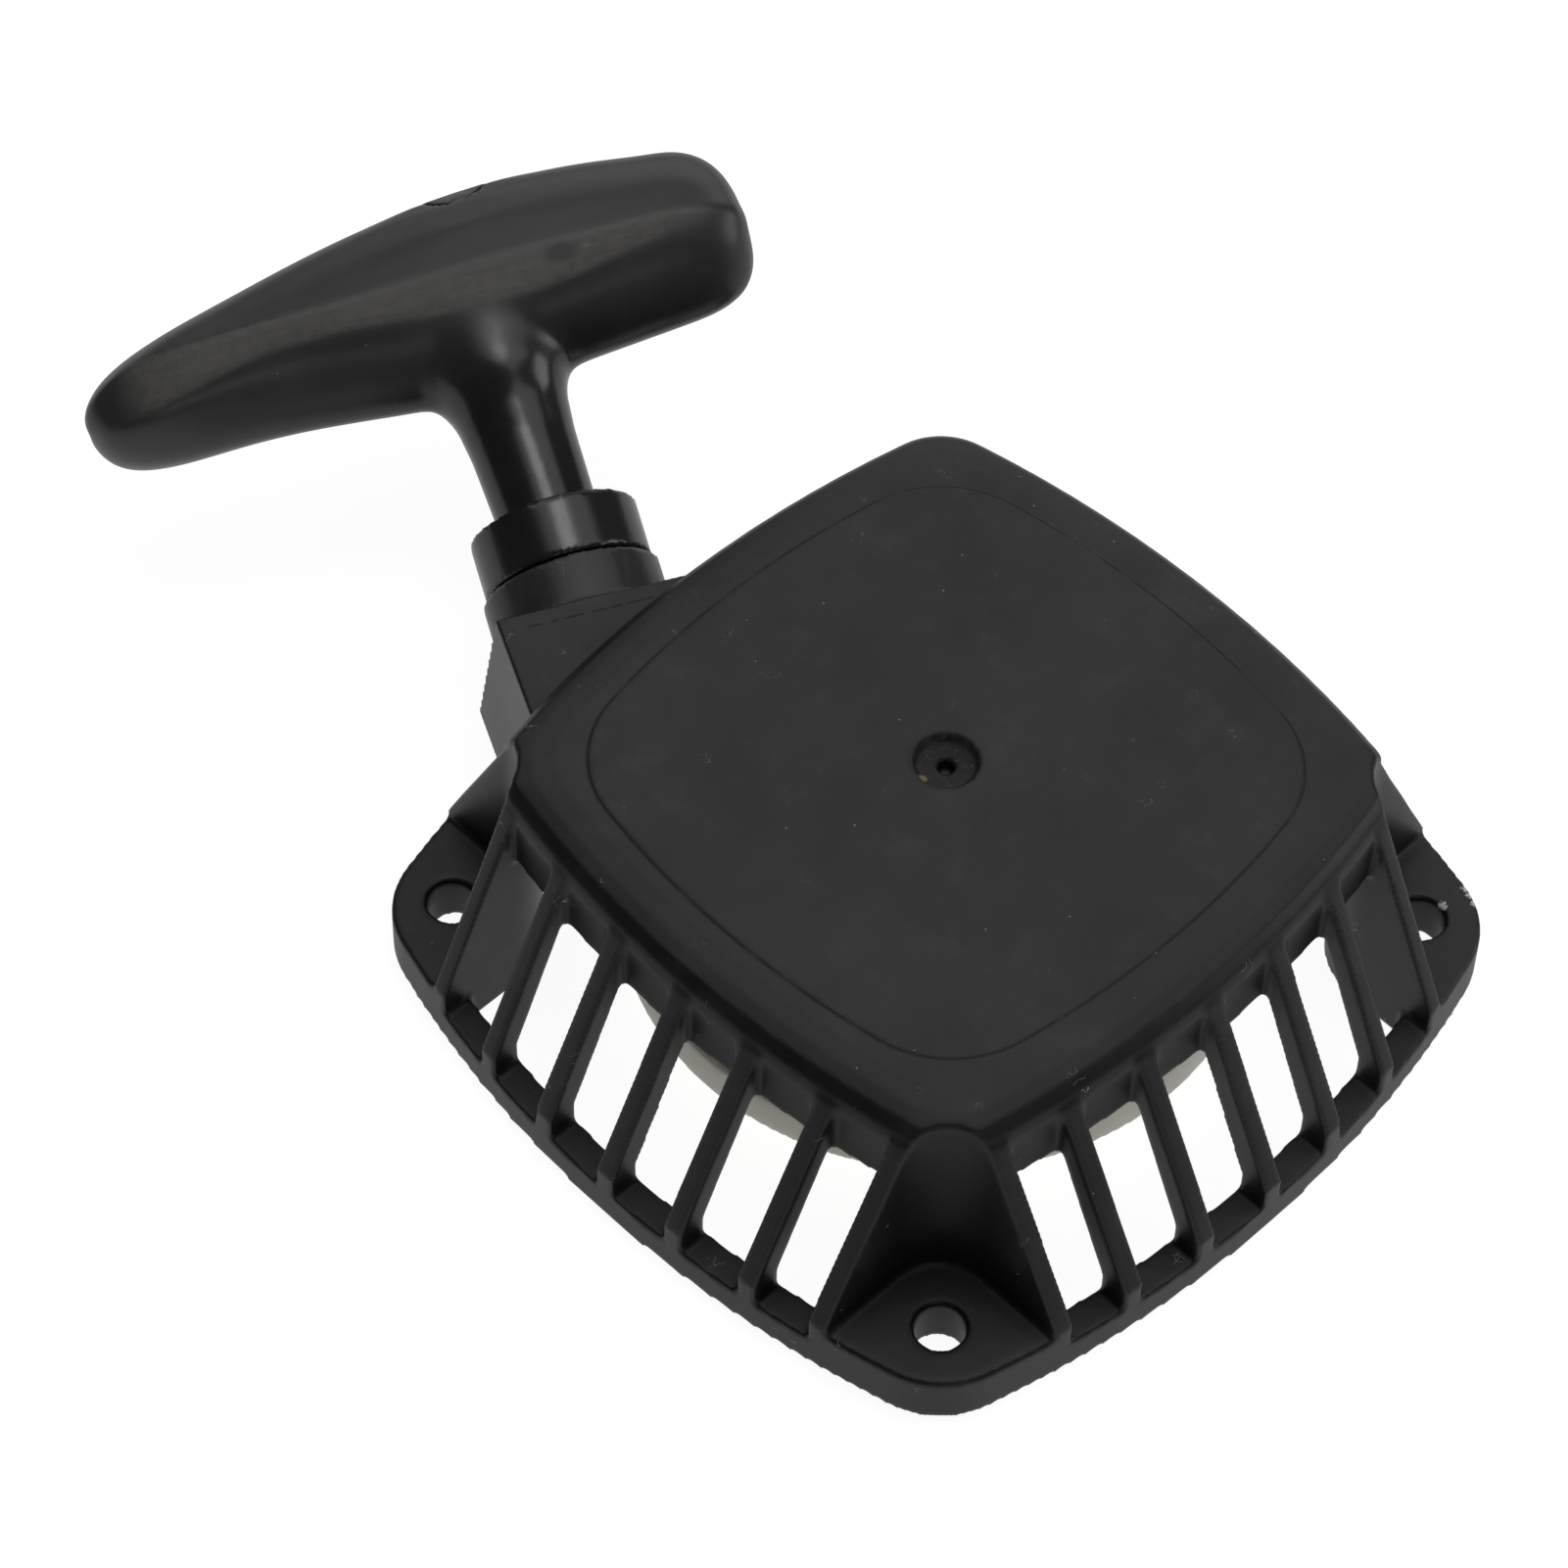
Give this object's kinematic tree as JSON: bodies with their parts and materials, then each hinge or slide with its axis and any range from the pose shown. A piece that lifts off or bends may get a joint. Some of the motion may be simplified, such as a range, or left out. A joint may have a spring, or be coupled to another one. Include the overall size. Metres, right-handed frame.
{
  "type": "recoil starter",
  "caption": "Moulded pull starter: ribbed square housing with corner lugs, angled rope outlet, T-grip handle, and a sprung reel with pawls inside.",
  "frame": {"origin": "centre of the mounting holes on the face that bolts to the engine", "axes": "+Z out of the housing along the reel's axle, +Y towards the side the rope leaves from, +X across it"},
  "size_m": [0.1174, 0.1844, 0.0497],
  "materials": {
    "black_nylon": "moulded, dusty",
    "grip_plastic": "semi-gloss, lightly scuffed",
    "reel_nylon": "natural nylon",
    "rope": "braided cord",
    "zinc_steel": "zinc plated",
    "spring_steel": "blued spring steel",
    "brass": "turned"
  },
  "bodies": {
    "housing": {"housing": "black_nylon", "rope_eyelet": "zinc_steel", "thread_insert": "brass", "spring_case": "zinc_steel", "spring_cover": "zinc_steel", "cover_screws": "zinc_steel", "rewind_spring": "spring_steel", "spacer_sleeve": "zinc_steel", "screw_washer": "zinc_steel", "centre_screw": "zinc_steel"},
    "reel": {"reel": "reel_nylon", "reel_bush": "brass", "thrust_washer": "zinc_steel", "rope_windings": "rope", "rope_reel_knot": "rope", "pawl_pins": "zinc_steel", "pawl_springs": "spring_steel"},
    "guide": {"guide_plate": "zinc_steel", "friction_spring": "spring_steel"},
    "pawl_1": {"pawl_1": "zinc_steel"},
    "pawl_2": {"pawl_2": "zinc_steel"},
    "pull_rope": {"rope_run": "rope", "rope_handle_knot": "rope", "knot_washer": "zinc_steel"},
    "handle": {"handle_grip": "grip_plastic", "handle_cap": "grip_plastic"}
  },
  "joints": [
    {"name": "handle_pull", "type": "slide", "parent": "housing", "child": "pull_rope", "axis": [0.4219, 0.8462, 0.3256], "range_m": [0, 0.8], "deforming": ["rope_run"]},
    {"name": "handle_twist", "type": "hinge", "parent": "pull_rope", "child": "handle", "pos_m": [-0.00553, 0.06265, 0.0232], "axis": [0.4219, 0.8462, 0.3256], "continuous": true},
    {"name": "reel_spin", "type": "hinge", "parent": "housing", "child": "reel", "pos_m": [0, 0, 0.017], "axis": [0, 0, -1], "range_deg": [0, 1580], "stiffness_Nm_per_rad": 0.0073, "springref_deg": -1174.56, "deforming": ["rewind_spring"]},
    {"name": "guide_turn", "type": "hinge", "parent": "reel", "child": "guide", "pos_m": [0, 0, 0.00455], "axis": [0, 0, 1], "range_deg": [0, 30]},
    {"name": "pawl_1_swing", "type": "hinge", "parent": "reel", "child": "pawl_1", "pos_m": [0.015, 0, 0.00665], "axis": [0, 0, -1], "range_deg": [0, 25.5]},
    {"name": "pawl_2_swing", "type": "hinge", "parent": "reel", "child": "pawl_2", "pos_m": [-0.015, 0, 0.00665], "axis": [0, 0, -1], "range_deg": [0, 25.5]}
  ],
  "couplings": [
    {"joint": "handle_pull", "follows": "reel_spin", "m_per_rad": 0.029},
    {"joint": "pawl_1_swing", "follows": "guide_turn", "ratio": 0.8333},
    {"joint": "pawl_2_swing", "follows": "guide_turn", "ratio": 0.8333}
  ]
}
